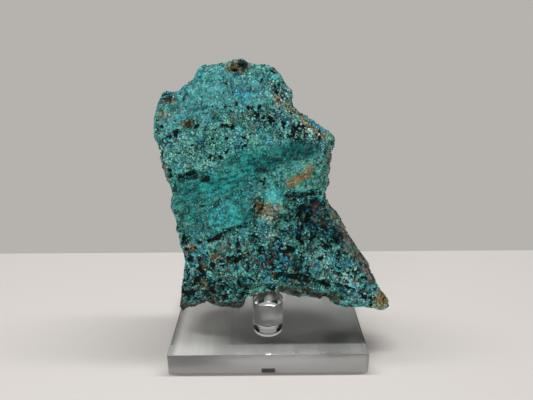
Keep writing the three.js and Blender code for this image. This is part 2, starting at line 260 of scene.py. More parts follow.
zones = [
    dict(name="crust", deep="abyss", lit="sea", pale="mint", vugs=0.45, rust=0.3, coarse=0.3, thick=0.85,
         crystals=dict(aqua=2, turquoise=3, sea=3, teal=2, mint=1, slate=1, black=1)),
    dict(name="crest", deep="steel", lit="turquoise", pale="aqua", vugs=0.35, rust=0.35, silk=0.5,
         coarse=0.2, thick=0.5,
         crystals=dict(turquoise=4, aqua=3, slate=3, sea=2, sky=1, mint=1, soot=0.7),
         ovals=[(-14, 103, 19, 9, 6, 1), (-29, 97, 12, 9, 20, 1), (-33, 86, 7, 7, 0, 0.6)]),
    dict(name="shelf", deep="sea", lit="aqua", pale="mint", vugs=0.45, rust=0.25, coarse=0.1, thick=0.9,
         crystals=dict(mint=4, aqua=4, turquoise=3, sea=1.5, sky=0.5),
         ovals=[(-28, 79, 13, 6, 16, 1), (-10, 87, 15, 6, 16, 0.9), (8, 88, 12, 7, -20, 0.8)]),
    dict(name="pale slope", deep="deepTeal", lit="aqua", pale="paleMint", vugs=0.6, rust=0.35, thick=0.85,
         crystals=dict(paleMint=3, bone=1, mint=3, aqua=3, turquoise=1, brown=0.4),
         ovals=[(7, 98, 7, 6, -40, 0.9), (14, 87, 10, 4.4, -34, 1)]),
    dict(name="trough", deep="deepTeal", lit="green", pale="lagoon", vugs=0.12, rust=0.2, silk=1, thick=0.12,
         crystals=dict(sea=4, teal=4, turquoise=3, deepTeal=2, brown=0.8, aqua=0.6),
         ovals=[(-20, 69, 18, 5.4, 18, 1), (-6, 76.5, 12, 6, 24, 0.95), (9, 81.4, 13, 3.4, 0, 0.9)]),
    # painted shade: a darker copy of the trough under the slope's overhang and in thin strips below ledges
    dict(name="trough end", deep="abyss", lit="deepTeal", pale="teal", vugs=0.2, rust=0.25, silk=1,
         thick=0.1,
         crystals=dict(teal=4, deepTeal=4, sea=1),
         ovals=[(12, 82, 10, 2.4, 0, 0.9), (3, 77, 8, 1.5, 14, 0.7), (-16, 66, 13, 1.2, 16, 0.5),
             (-8.6, 65.6, 5.4, 2.6, -8, 0.85), (-13, 78.6, 5, 1.3, 22, 0.7), (-29, 66, 4, 1.6, 10, 0.6)]),
    dict(name="pillow", deep="deepTeal", lit="lagoon", pale="turquoise", vugs=0.2, rust=0.15, silk=0.8,
         coarse=0.3, thick=0.3,
         crystals=dict(turquoise=4, sea=5, aqua=1.4, teal=2, cyan=1, brown=0.5),
         ovals=[(-13.8, 59.2, 11, 6, 14, 1)]),
    dict(name="left cheek", deep="abyss", lit="teal", pale="sea", vugs=0.3, rust=0.5, silk=0.6, coarse=0.3,
         thick=0.5,
         crystals=dict(teal=4, sea=3, turquoise=1.4, deepTeal=2, umber=1, moss=1),
         ovals=[(-29, 57, 7, 7, 30, 0.9)]),
    dict(name="block", deep="deepTeal", lit="jade", pale="herb", vugs=0.15, rust=0.5, silk=0.8, coarse=0.2,
         thick=0.4,
         crystals=dict(jade=5, sea=3, mint=1, turquoise=2, moss=2, ochre=0.4),
         ovals=[(12.6, 73, 10, 5, 6, 1)]),
    dict(name="facet", deep="turquoise", lit="turquoise", pale="aqua", rust=0.1, silk=1, thick=0.05,
         crystals=dict(aqua=3, turquoise=4, sea=3),
         ovals=[(2.6, 66.8, 3.6, 5, 24, 0.95)]),
    dict(name="ochre patch", deep="brown", lit="rust", pale="ochre", vugs=0.1, rust=0.7, silk=1, coarse=0.2,
         thick=0.5,
         crystals=dict(ochre=3, rust=3, sand=2, jade=2, moss=2),
         ovals=[(11.6, 73.4, 4, 1.7, 14, 1), (8.4, 70.6, 2.8, 1, 20, 0.9), (15, 75.6, 3, 0.8, 10, 0.7)]),
    dict(name="knot", deep="ochre", lit="sand", pale="bone", vugs=0.2, rust=0.8, coarse=0.3, thick=0.9,
         crystals=dict(sand=5, bone=2, ochre=1.4, jade=1, aqua=1, brown=1),
         ovals=[(0.8, 59.8, 3.4, 3.2, 0, 1), (-2.6, 63, 2, 1, 50, 0.6)]),
    # painted shade: the recess below the block, painted dark as the shade under its overhang
    dict(name="shaded recess", deep="black", lit="abyss", pale="turquoise", vugs=1, rust=0.15, coarse=0.6,
         thick=0.6,
         crystals=dict(deepTeal=4, teal=3, slate=2, turquoise=1.2, azure=1, black=3),
         ovals=[(18, 57, 9, 6.4, -34, 0.95), (25.6, 49.6, 7, 3.4, -50, 1), (9, 58, 5, 3, 0, 0.5),
             (14, 50.4, 8, 3.2, -24, 0.85)]),
    # partly its own blue and cyan crystals, partly painted shade that darkens the lower face
    dict(name="shaded low centre", deep="black", lit="slate", pale="cyan", vugs=1, rust=0.6, coarse=0.9, thick=0.6,
         crystals=dict(azure=3, cyan=3, aqua=1.6, deepTeal=3, brown=1.4, black=3),
         ovals=[(3, 41, 12, 7, -10, 0.9), (-8, 46, 6, 4, 30, 0.7), (9, 33, 9, 3.4, -4, 1)]),
    dict(name="ridge", deep="umber", lit="aqua", pale="mint", vugs=0.5, rust=0.65, coarse=0.5, thick=0.9,
         crystals=dict(paleMint=1, mint=2, aqua=4, cyan=3, sky=1, brown=1.2, black=2),
         ovals=[(20, 40.8, 13, 4.4, -36, 0.9), (4.4, 47.4, 4, 2.2, -10, 0.8)]),
    dict(name="left foot", deep="umber", lit="cyan", pale="aqua", vugs=0.75, rust=0.75, coarse=1, thick=0.85,
         crystals=dict(aqua=5, cyan=4, mint=1, teal=2, sky=0.8, brown=2, umber=2, black=1),
         ovals=[(-21, 40, 12, 8, 10, 1)]),
    dict(name="bright foot", deep="deepTeal", lit="lagoon", pale="aqua", vugs=0.4, rust=0.65, silk=0.2,
         coarse=1, thick=0.8,
         crystals=dict(cyan=4, aqua=3, turquoise=3, lagoon=3, brown=1, sky=1),
         ovals=[(-22, 45, 9, 2.6, 14, 0.9), (-10.4, 47.4, 6, 2.4, 30, 0.85), (-14, 38.6, 4, 1.8, 40, 0.6)]),
    # black and dark teal, partly the crust's own colour and partly painted shade at the bottom of the rock
    dict(name="shaded foot bottom", deep="black", lit="sea", pale="aqua", vugs=1, rust=0.55, coarse=0.5, thick=0.7,
         crystals=dict(cyan=2.4, sea=3, deepTeal=3, mint=1.4, slate=1, umber=1.6, black=3),
         ovals=[(-22, 27, 14, 7, 0, 1), (-9, 30, 5, 5, 0, 0.9)]),
    dict(name="tail", deep="black", lit="cyan", pale="paleMint", vugs=0.75, rust=0.3, coarse=1, thick=0.85,
         crystals=dict(aqua=4, cyan=4, sky=1.6, mint=2, teal=1, paleMint=0.4, brown=0.5, black=2),
         ovals=[(34, 29.6, 10, 5, -45, 1)]),
    dict(name="dots", deep="black", lit="slate", pale="aqua", vugs=1, rust=0.5, coarse=0.7, thick=0.45,
         crystals=dict(black=3, slate=2, aqua=2, mint=2, bone=1),
         ovals=[(-33.6, 86.6, 6, 2.6, 12, 0.6), (-3, 93.4, 5.4, 2.4, -16, 0.5), (9.6, 88, 9, 2.6, -28, 0.85),
             (-12, 104.6, 3, 1.6, -50, 0.4), (1, 103.6, 3, 1.4, 0, 0.4), (-22, 84, 4, 1.4, 20, 0.5)]),
    dict(name="flake", deep="teal", lit="mint", pale="paleMint", vugs=0.3, rust=0.4, silk=0.4, coarse=0.9,
         thick=0.5,
         crystals=dict(mint=4, aqua=2, jade=2, cyan=1),
         ovals=[(33.6, 29.8, 2.6, 1.9, -30, 0.9), (-19, 47.6, 3.4, 1.2, 16, 0.6),
             (1.4, 51.4, 2.6, 1.4, 0, 0.6)]),
    dict(name="brown", deep="black", lit="brown", pale="ochre", vugs=0.6, rust=1, coarse=0.5, thick=0.6,
         crystals=dict(brown=4, umber=3, rust=1, sand=0.6, black=2),
         ovals=[(-27.6, 90.7, 2.8, 1.3, -8, 1), (-10, 109.6, 4, 2.2, 0, 1), (-34.7, 99.4, 2.4, 2.4, 0, 1),
             (-8.6, 42.5, 3.4, 1.4, 30, 0.6), (-24, 30.4, 2.6, 1.4, 0, 0.5), (-16, 34, 2, 1.2, 0, 0.5),
             (-19.7, 43.3, 3, 2, 10, 0.7), (-29.7, 44, 2.6, 1.8, 0, 0.7), (-25.6, 37, 3, 1.6, 20, 0.6),
             (-2.9, 61, 1.4, 3, -20, 1), (-11.9, 92.4, 1, 2, 0, 0.6), (1, 34, 1.6, 4, 0, 0.4)]),
    # painted shade: black along the carved creases and in small crevices, where shade falls
    dict(name="crevice shade", deep="black", lit="abyss", pale="teal", vugs=1, coarse=0.5, thick=0.2,
         crystals=dict(black=3, deepTeal=1, turquoise=1),
         ovals=[(-35, 100.2, 1.5, 1.7, 0, 1), (-9, 110, 2.2, 1.1, 0, 0.8), (-29.4, 72.4, 4.4, 2, 12, 1),
             (-22.4, 71.4, 2.4, 1, -10, 0.8), (-11.9, 90.6, 2, 0.7, 18, 0.8), (12, 31.8, 11, 2.3, -7, 1),
             (18.6, 57.4, 5, 4, -40, 0.7), (22.6, 52.4, 4, 2.6, -50, 0.8), (28, 28.6, 3, 1.8, -30, 0.8),
             (38.6, 24.4, 4, 1.3, -35, 0.8), (-1.6, 75.8, 3.6, 1.3, 8, 0.8)],
         lines=[([(-8.4, 56), (-15.7, 51.8), (-21.4, 49)], 0.8, 1),
             ([(6.4, 66), (12.8, 64.4), (19, 65.6)], 0.9, 0.8)]),
    dict(name="blue", deep="azure", lit="sky", pale="aqua", vugs=0.3, rust=0.05, silk=0.2, coarse=0.7,
         thick=0.7,
         crystals=dict(sky=4, azure=4, aqua=2, slate=1),
         ovals=[(-8.2, 100.4, 3.2, 2.2, -30, 1), (6.4, 42.3, 4, 1.4, -24, 0.7), (31.7, 38.2, 2, 1.6, 0, 0.8),
             (38.2, 35.8, 3, 2, -40, 0.9), (33.2, 30.1, 2, 1.6, 0, 0.8), (-26.3, 45.9, 3, 0.8, 4, 0.6),
             (-0.7, 30.6, 1.2, 1.6, 0, 0.9), (-35, 101, 2, 2, 0, 0.6)],
         lines=[([(12.8, 94.6), (18, 90.4), (22.8, 86.4)], 0.7, 0.8)]),
    dict(name="tan", deep="brown", lit="ochre", pale="sand", vugs=0.1, rust=0.6, coarse=0.3, thick=0.5,
         crystals=dict(sand=2, bone=0.8, ochre=4, brown=2),
         ovals=[(-35.8, 93.6, 3, 1.6, 0, 0.7), (45.4, 22, 4.2, 3.8, -50, 1), (-14.8, 46.8, 2, 0.8, 10, 0.5)],
         lines=[([(2.8, 100), (3.8, 98.8), (10.6, 93.2), (21, 85.8)], 0.85, 0.85)]),
    dict(name="stone", deep="darkStone", lit="paleStone", pale="paleStone", vugs=0.35, rust=0.4, coarse=0.5,
         thick=0.6,
         crystals=dict(stone=4, darkStone=3, paleStone=3, umber=2, moss=1, black=1),
         ovals=[(-38, 73.7, 1.4, 6, 0, 0.8)],
         lines=[([(24.6, 80), (22.6, 64.3), (32, 47.2), (41.6, 30)], 1.7, 0.9),
             ([(25, 59), (31.4, 47), (38, 36)], 2.1, 0.9), ([(-34, 19.6), (-20, 21), (-8, 20)], 2.2, 0.95),
             ([(5, 26.8), (16, 26.2), (27, 21.6)], 1.8, 1)]),
]
crusted = {
    "foot": 20, "lean": 0.15,  # from this height on the face leans back, by this slope
    "depths": (4.5, 1.5), "turns": (0.75, 0.35),  # where it ends, by depth and by the normal's y
    "wander": [(5, 1.5), (1.6, 0.7)],  # sizes and swings of the waves in the zones' edges
    "ovalFall": 1.6, "lineFall": 2.6,  # how steeply a zone ends
    # noise of the black holes, in layers of (size, weight, offset), and the level below which they are
    "pits": [(1.3, 0.6, (0, 0, 0)), (0.7, 0.2, (2, 7, 4)), (3.4, 0.85, (5, 3, 8))],
    "pitFrom": -0.62, "pitGain": 0.55, "pitBlur": 0.07,
}


def wobbled(points, size, swing):
    # the points, each moved a little, so that edges between zones wander
    moved = np.array([noise.noise_vector(Vector(p) / size) for p in points.tolist()])
    return points + swing * moved


def layered(points, layers):
    # noise in layers of (size, weight, offset)
    return sum(
        weight * np.array([noise.noise(Vector(p) / size + Vector(offset)) for p in points])
        for size, weight, offset in layers
    )


def depthBehind(y, z):
    return y - (z - crusted["foot"]) * crusted["lean"]


def fromPath(path, x, z):
    nearest = np.full(len(x), np.inf)
    for (ax, az), (bx, bz) in zip(path, path[1:]):
        dx, dz = bx - ax, bz - az
        share = np.clip(((x - ax) * dx + (z - az) * dz) / (dx * dx + dz * dz), 0, 1)
        nearest = np.minimum(nearest, np.hypot(x - ax - share * dx, z - az - share * dz))
    return nearest


def zoneStrength(zone, points):
    x, z = points[:, 0], points[:, 2]
    strength = np.zeros(len(points))
    for ox, oz, length, width, turn, most in zone.get("ovals", []):
        c, s = math.cos(math.radians(turn)), math.sin(math.radians(turn))
        along, across = ((x - ox) * c + (z - oz) * s) / length, ((z - oz) * c - (x - ox) * s) / width
        fall = (along**2 + across**2) ** crusted["ovalFall"]
        strength = np.maximum(strength, most * np.exp(-fall))
    for path, width, most in zone.get("lines", []):
        fall = (fromPath(path, x, z) / width) ** crusted["lineFall"]
        strength = np.maximum(strength, most * np.exp(-fall))
    return strength


def zoneShares(points, normals):
    # how much of each zone there is at points of the rock, one row for each zone, adding up to 1
    wandering = points
    for size, swing in crusted["wander"]:
        wandering = wandering + (wobbled(points, size, swing) - points)
    depth = depthBehind(wandering[:, 1], wandering[:, 2])
    face = ramp(depth, *crusted["depths"]) * ramp(normals[:, 1], *crusted["turns"])
    shares = [np.ones(len(points))]
    for zone in zones[1:]:
        cover = zoneStrength(zone, wandering)
        cover = np.maximum(cover, 1 - face) if zone["name"] == "stone" else cover * face
        shares = [share * (1 - cover) for share in shares] + [cover]
    return np.array(shares)


def pits(points, vugs):
    # black holes between the crystals: more and wider where vugs is more
    depth = layered(points.tolist(), crusted["pits"])
    edge = crusted["pitGain"] * vugs + crusted["pitFrom"]
    return ramp(depth, edge + crusted["pitBlur"], edge - crusted["pitBlur"])


def mixed(shares, name):
    # a number or tone of the zones, mixed by their shares
    values = [zone.get(name, 0) for zone in zones]
    return shares.T @ np.array([paint(tones[v])[:3] if isinstance(v, str) else (v,) for v in values])


# mesh helpers
def coOf(piece):
    co = np.empty(len(piece.data.vertices) * 3, np.float32)
    piece.data.vertices.foreach_get("co", co)
    return co.reshape(-1, 3).astype(float) / mm


def normalsOf(piece):
    normals = np.empty(len(piece.data.vertices) * 3, np.float32)
    piece.data.vertices.foreach_get("normal", normals)
    return normals.reshape(-1, 3).astype(float)


def moveTo(piece, points):
    piece.data.vertices.foreach_set("co", (points * mm).astype(np.float32).ravel())
    piece.data.update()


def smoothed(piece, values, rounds):
    # each vertex's value averaged with its neighbours', so many times over
    edges = np.empty(len(piece.data.edges) * 2, np.int64)
    piece.data.edges.foreach_get("vertices", edges)
    first, second = edges.reshape(-1, 2).T
    total = len(piece.data.vertices)
    count = 1 + np.bincount(first, minlength=total) + np.bincount(second, minlength=total)
    for _ in range(rounds):
        columns = []
        for column in values.T:
            near = np.bincount(first, column[second], total) + np.bincount(second, column[first], total)
            columns.append((column + near) / count)
        values = np.array(columns).T
    return values


def storeField(piece, name, values):
    attribute = piece.data.attributes.new(name, "FLOAT", "POINT")
    attribute.data.foreach_set("value", values.astype(np.float32))


def storeTint(piece, name, colours):
    attribute = piece.data.attributes.new(name, "FLOAT_COLOR", "POINT")
    filled = np.hstack([colours, np.ones((len(colours), 1))])
    attribute.data.foreach_set("color", filled.astype(np.float32).ravel())


def applyPlace(piece):
    pick(piece)
    bpy.ops.object.transform_apply(location=True, rotation=True, scale=True)


def selectFaces(piece, wanted):
    bpy.ops.object.mode_set(mode="OBJECT")
    bpy.context.tool_settings.mesh_select_mode = (False, False, True)
    for part in (piece.data.vertices, piece.data.edges, piece.data.polygons):
        part.foreach_set("select", [False] * len(part))
    for face in piece.data.polygons:
        face.select = wanted(face)
    bpy.ops.object.mode_set(mode="EDIT")


def copyOfNode(node, name):
    piece = bpy.data.objects.new(name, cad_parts[node].data.copy())
    piece.data.name = name
    piece.data.materials.clear()
    bpy.context.scene.collection.objects.link(piece)
    pick(piece)
    bpy.ops.mesh.customdata_custom_splitnormals_clear()
    bpy.ops.object.mode_set(mode="EDIT")
    bpy.ops.mesh.select_all(action="SELECT")
    bpy.ops.mesh.remove_doubles(threshold=1e-6)
    bpy.ops.mesh.mark_sharp(clear=True)
    bpy.ops.object.mode_set(mode="OBJECT")
    bpy.ops.object.shade_smooth()
    return piece


def swell(piece, kind, size, height, share, middle=0.5, **settings):
    # raises a piece's surface by a texture, by the share of each vertex
    group = piece.vertex_groups.new(name="share")
    levels = np.round(np.clip(share, 0, 1) * 20).astype(int)
    for level in range(1, 21):
        members = np.nonzero(levels == level)[0]
        if len(members):
            group.add(members.tolist(), level / 20, "REPLACE")
    texture = bpy.data.textures.new("swell", kind)
    texture.noise_scale = size * mm
    for name, value in settings.items():
        setattr(texture, name, value)
    modifier = piece.modifiers.new("swell", "DISPLACE")
    modifier.texture = texture
    modifier.texture_coords = "LOCAL"
    modifier.strength = height * mm
    modifier.mid_level = middle
    modifier.vertex_group = group.name
    pick(piece)
    bpy.ops.object.modifier_apply(modifier=modifier.name)
    piece.vertex_groups.clear()


print("rock")
rock = {
    "frontCuts": 2, "frontDepth": 3.5, "frontTurn": 0.4,  # the finer faces are in front of these
    "smoothing": 4,
    "pitDepth": 0.5,
    "footShade": (35, 25),  # the heights between which the rock's foot grows dark, in painted shade
    "relief": [("crown", 5, 0.16), ("brow", 60, 0.9)],  # name, rounds of smoothing, reach in mm
    "carvings": [
        # path, half width, depth
        ([(4, 70), (7.4, 67), (12.8, 65.6), (19, 66.6)], 1.3, 1.0),
        ([(-4.2, 62.6), (-8.3, 56.0), (-15.7, 51.6), (-21.4, 48.6)], 0.9, 1.0),
        ([(-32, 72), (-29.6, 72.6), (-27.6, 73.4)], 0.9, 1.2),
        ([(-13.4, 90.6), (-10.4, 91.6)], 0.7, 0.8),
        ([(-5, 59.4), (-3.4, 63.6)], 1.0, 1.0),
        ([(5.4, 66.4), (7, 61.6)], 0.8, 0.8),
        ([(15, 58), (21, 53.6), (27, 48)], 2.4, 1.4),
        ([(1, 34.4), (12, 34.2), (22, 31)], 1.2, 1.2),
        ([(-35, 100.2), (-34.4, 98.6)], 1.1, 1.4),
    ],
    "crust": [
        {"kind": "VORONOI", "size": 3.0, "height": -0.7},
        {"kind": "VORONOI", "size": 1.3, "height": -0.5},
    ],
    "silk": [
        {"kind": "CLOUDS", "size": 4.5, "height": 1.0, "noise_depth": 2},
        {"kind": "CLOUDS", "size": 1.1, "height": 0.22},
    ],
    "stone": [
        {"kind": "CLOUDS", "size": 4.2, "height": 1.6, "noise_depth": 3},
        {"kind": "VORONOI", "size": 2.6, "height": 0.6},
    ],
}
stoneShare = [zone["name"] for zone in zones].index("stone")


def inFront(face):
    _, y, z = face.center / mm
    return depthBehind(y, z) < rock["frontDepth"] and face.normal.y < rock["frontTurn"]


def makeRock():
    piece = copyOfNode("chrysocolla_rock", "rockBody")
    bpy.ops.object.mode_set(mode="EDIT")
    bpy.ops.mesh.subdivide(number_cuts=1, smoothness=0.8)
    selectFaces(piece, inFront)
    bpy.ops.mesh.subdivide(number_cuts=rock["frontCuts"], smoothness=0.6)
    bpy.ops.mesh.select_all(action="SELECT")
    bpy.ops.mesh.quads_convert_to_tris()
    bpy.ops.mesh.vertices_smooth(factor=0.5, repeat=rock["smoothing"])
    bpy.ops.object.mode_set(mode="OBJECT")
    points = coOf(piece)
    shares = zoneShares(points, normalsOf(piece))
    face = 1 - shares[stoneShare]
    for path, width, depth in rock["carvings"]:
        near = np.exp(-((fromPath(path, points[:, 0], points[:, 2]) / width) ** 2.2))
        points[:, 1] += depth * near * face
    moveTo(piece, points)
    silk, bare = mixed(shares, "silk")[:, 0], shares[stoneShare]
    parts = {"crust": (1 - silk) * (1 - bare), "silk": silk, "stone": bare}
    for name, share in parts.items():
        for step in rock[name]:
            swell(piece, share=share, **step)
    points, normals = coOf(piece), normalsOf(piece)
    shares = zoneShares(points, normals)
    pit = pits(points, mixed(shares, "vugs")[:, 0]) * (1 - 0.9 * mixed(shares, "silk")[:, 0])
    moveTo(piece, points - rock["pitDepth"] * pit[:, None] * normals)
    storeField(piece, "pit", pit)
    points, normals = coOf(piece), normalsOf(piece)
    for name, rounds, reach in rock["relief"]:
        height = ((points - smoothed(piece, points, rounds)) * normals).sum(axis=1)
        storeField(piece, name, np.clip(0.5 + height / (2 * reach), 0, 1))
    shares = zoneShares(points, normals)
    for name in ("vugs", "rust", "silk", "coarse"):
        storeField(piece, name, mixed(shares, name)[:, 0])
    storeField(piece, "bare", shares[stoneShare])
    storeField(piece, "footShade", ramp(points[:, 2], *rock["footShade"]))
    for name in ("deep", "lit", "pale"):
        storeTint(piece, name, mixed(shares, name))
    return piece


skin = {
    # sizes of its patterns in millimetres, some with a turn in degrees and a stretch
    "broad": 6, "middling": 1.5, "fine": 0.5, "speck": 0.8, "mottle": 2.6, "hue": 4.3, "crack": 2.6,
    "streak": (1.2, 20, 2.6), "scratch": (0.36, 34, 5), "smear": (1.7, 25, 2.2),
    "rings": ((0.75, 0.7), (1.5, 1.3)),  # size and warp of the small and the large ones
    "eye": (0.12, 0.24), "gap": (0.42, 0.52),  # a ring's radii where the eye ends and the gap starts
    "blue": 0.3, "green": 0.2, "brown": 0.75, "speckles": 0.8, "hollows": 0.6, "undersides": 0.3,
    "roughness": 0.75, "specular": 0.08, "coat": 0.06, "coatRoughness": 0.4, "bump": (0.16, 0.7),
}


def rockFinish():
    f = Finish("rockCrust")
    tone = {name: paint(code) for name, code in tones.items()}
    place = f.place()
    vugs, rust, silk, bare, coarse = (f.field(name) for name in ("vugs", "rust", "silk", "bare", "coarse"))
    crown, brow, pit = f.field("crown"), f.field("brow"), f.field("pit")
    deep, lit, pale = (f.field(name, "Color") for name in ("deep", "lit", "pale"))
    broad, middling = f.clouds(skin["broad"], 3, place), f.clouds(skin["middling"], 4, place)
    fine = f.clouds(skin["fine"], 3, place)
    speck = f.clouds(skin["speck"], 3, f.shifted(place, (3.1, 1.7, 5.3)))
    mottle = f.clouds(skin["mottle"], 3, f.shifted(place, (4.2, 8.8, 0.7)))
    # crust: small rings with dark eyes, each in its own tone, with black between them
    crusts, gapShare = [], (0.55 + 0.6 * vugs).limit()
    for size, warp in skin["rings"]:
        warped = f.shifted(place, (0, 0, 0), middling * warp)
        ring, draw = f.cells(size, place=warped), f.cells(size, place=warped, output="Color")
        ring = ring + 0.24 * (fine - 0.5)
        own = f.mix(f.step(draw + 0.7 * middling, 0.5, 0.85), deep, lit)
        own = f.mix(f.step(draw + 0.9 * broad, 0.86, 1.0), own, pale)
        own = f.mix(f.step(ring, *skin["eye"]), tone["abyss"], own)
        crusts.append(f.mix(f.step(ring, *skin["gap"]) * gapShare, own, tone["black"]))
    crust = f.mix(f.step(coarse + middling, 0.9, 1.1), *crusts)
    crust = f.mix(f.step(mottle, 0.5, 0.4) * (0.3 + 0.4 * vugs), crust, tone["black"])
    crust = f.mix(f.step(mottle, 0.54, 0.64) * (0.25 + 0.35 * vugs), crust, pale)
    # silk: a smooth skin with streaks along the trough, light and dark scratches and a few cracks
    streak, scratch = (
        f.clouds(size, detail, f.stretched(place, turn, stretch))
        for (size, turn, stretch), detail in ((skin["streak"], 4), (skin["scratch"], 2))
    )
    silky = f.mix(f.step(streak, 0.42, 0.58), deep, lit)
    silky = f.mix(f.step(streak + 0.3 * fine, 0.7, 0.8) * 0.6, silky, pale)
    silky = f.mix(f.step(middling + 0.4 * broad, 0.64, 0.52) * 0.75, silky, tone["abyss"])
    silky = f.mix(f.step(scratch, 0.56, 0.66) * 0.8, silky, pale)
    silky = f.mix(f.step(scratch, 0.43, 0.35) * 0.75, silky, tone["abyss"])
    silky = f.mix(f.step(fine + 0.3 * middling, 0.76, 0.84) * 0.7, silky, pale)
    silky = f.mix(f.step(mottle, 0.55, 0.64) * 0.4, silky, pale)
    crack = f.cells(skin["crack"], "DISTANCE_TO_EDGE", f.shifted(place, (0, 0, 0), 2.2 * middling))
    silky = f.mix(f.step(crack, 0.07, 0.02) * f.step(mottle, 0.52, 0.46) * 0.8, silky, tone["abyss"])
    # both: a drift of hue, black holes, brown smears, ochre specks and the pits of the mesh
    face = f.mix(silk, crust, silky)
    hue = f.clouds(skin["hue"], 2, f.shifted(place, (1.2, 6.6, 3.3)))
    face = f.mix(f.step(hue, 0.52, 0.68) * skin["blue"] * (1 - silk), face, tone["azure"])
    face = f.mix(f.step(hue, 0.46, 0.34) * skin["green"] * (1 - silk), face, tone["jade"])
    face = f.mix(f.step(speck - 0.12 * vugs, 0.4, 0.34) * vugs, face, tone["black"])
    size, turn, stretch = skin["smear"]
    smear = f.clouds(size, 4, f.stretched(f.shifted(place, (7.3, 2.1, 1.9)), turn, stretch))
    smeared = f.step(smear + 0.16 * rust, 0.64, 0.74) * (skin["brown"] - 0.35 * silk)
    face = f.mix(smeared, face, tone["brown"])
    speckled = f.step(speck + 0.12 * rust, 0.68, 0.74) * (skin["speckles"] - 0.25 * silk)
    face = f.mix(speckled, face, tone["ochre"])
    face = f.mix(f.step(pit, 0.25, 0.75), face, tone["black"])
    # bare rock, then shade in the hollows and below the ledges
    stony = f.mix(f.step(middling, 0.4, 0.62), tone["darkStone"], tone["stone"])
    stony = f.mix(f.step(fine, 0.52, 0.66) * 0.6, stony, tone["paleStone"])
    stony = f.mix(f.step(broad, 0.56, 0.66) * 0.5, stony, tone["moss"])
    stony = f.mix(f.step(speck, 0.42, 0.34) * 0.6, stony, tone["black"])
    # painted shade: bare stone blackened towards the rock's foot
    stony = f.mix(0.75 * f.field("footShade"), stony, tone["black"])
    face = f.mix(bare, face, stony)
    face = f.mix(f.step(crown, 0.5, 0.05) * skin["hollows"] * (1 - 0.6 * silk), face, tone["black"])
    face = f.mix(f.step(brow, 0.4, 0.0) * skin["undersides"], face, tone["black"])
    return f.surface(
        Base_Color=face, Roughness=(skin["roughness"] - 0.15 * silk + 0.2 * bare).limit(),
        Specular_IOR_Level=skin["specular"], Normal=f.bump(fine + 0.6 * middling, *skin["bump"]),
        Coat_Weight=skin["coat"] * silk, Coat_Roughness=skin["coatRoughness"],
    )


rockBody = makeRock()
rockBody.data.materials.append(rockFinish())
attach(rockBody, "root")
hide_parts("chrysocolla_rock")
print("rock triangles", len(rockBody.data.polygons))


print("crystals")
# Each kind is modelled once and copied. Spacing and sink, how deep it sits, are in half widths, and
# reach is the farthest in millimetres that spacing comes to. Lean is how far it may tip in radians,
# eye the shade of its hollow, and rough its scale, with the swing and the seed of its corners.
crystals = {
    "tries": 40000, "spacing": 1.5, "reach": 1.4,
    "smallest": 0.2, "swing": 0.34, "silkShrink": 0.25,
    "clump": [(3.2, 1, (0, 0, 0))], "clumping": (-0.1, 0.25), "openPit": 0.2,
    "behind": (5, 0.25),  # from this depth on, this share of them
    "pattern": [(1.9, 1, (0, 0, 0)), (0.9, 0.6, (9, 4, 2))], "patternSwing": 0.32,
    "drift": 7, "driftSwing": (0.25, 0.16, 0.22), "soleShade": 0.65,
    "ringletShare": 0.5, "split": 72,  # above this height the ringlets are a piece of their own
    "kinds": {
        "ringlet": {"sink": 0.1, "lean": 0.35, "eye": 0.12},
        "nub": {"sink": 0.15, "lean": 0.6, "eye": 1.0, "rough": ((1.1, 0.85, 0.75), 0.16, 4)},
        "chip": {"sink": 0.2, "lean": 0.8, "eye": 1.0, "rough": ((1.1, 0.8, 0.6), 0.45, 9)},
    },
}


def makeRinglet():
    bpy.ops.mesh.primitive_cylinder_add(vertices=7, radius=1, depth=1, end_fill_type="NGON")
    shape = bpy.context.object
    selectFaces(shape, lambda face: face.normal.z > 0.9)
    bpy.ops.transform.resize(value=(0.82, 0.82, 1))
    bpy.ops.mesh.inset(thickness=0.34)
    bpy.ops.transform.translate(value=(0, 0, -0.5))
    bpy.ops.mesh.select_all(action="SELECT")
    bpy.ops.mesh.quads_convert_to_tris()
    bpy.ops.object.mode_set(mode="OBJECT")
    return shape


def roughened(kind):
    # the shape made last, stretched, with its corners moved at random
    shape, (scale, offset, seed) = bpy.context.object, crystals["kinds"][kind]["rough"]
    shape.scale = scale
    applyPlace(shape)
    bpy.ops.object.mode_set(mode="EDIT")
    bpy.ops.mesh.select_all(action="SELECT")
    bpy.ops.transform.vertex_random(offset=offset, seed=seed)
    bpy.ops.mesh.quads_convert_to_tris()
    bpy.ops.object.mode_set(mode="OBJECT")
    return shape


def makeNub():
    bpy.ops.mesh.primitive_ico_sphere_add(subdivisions=1, radius=1)
    return roughened("nub")


def makeChip():
    bpy.ops.mesh.primitive_cube_add(size=1.7)
    return roughened("chip")


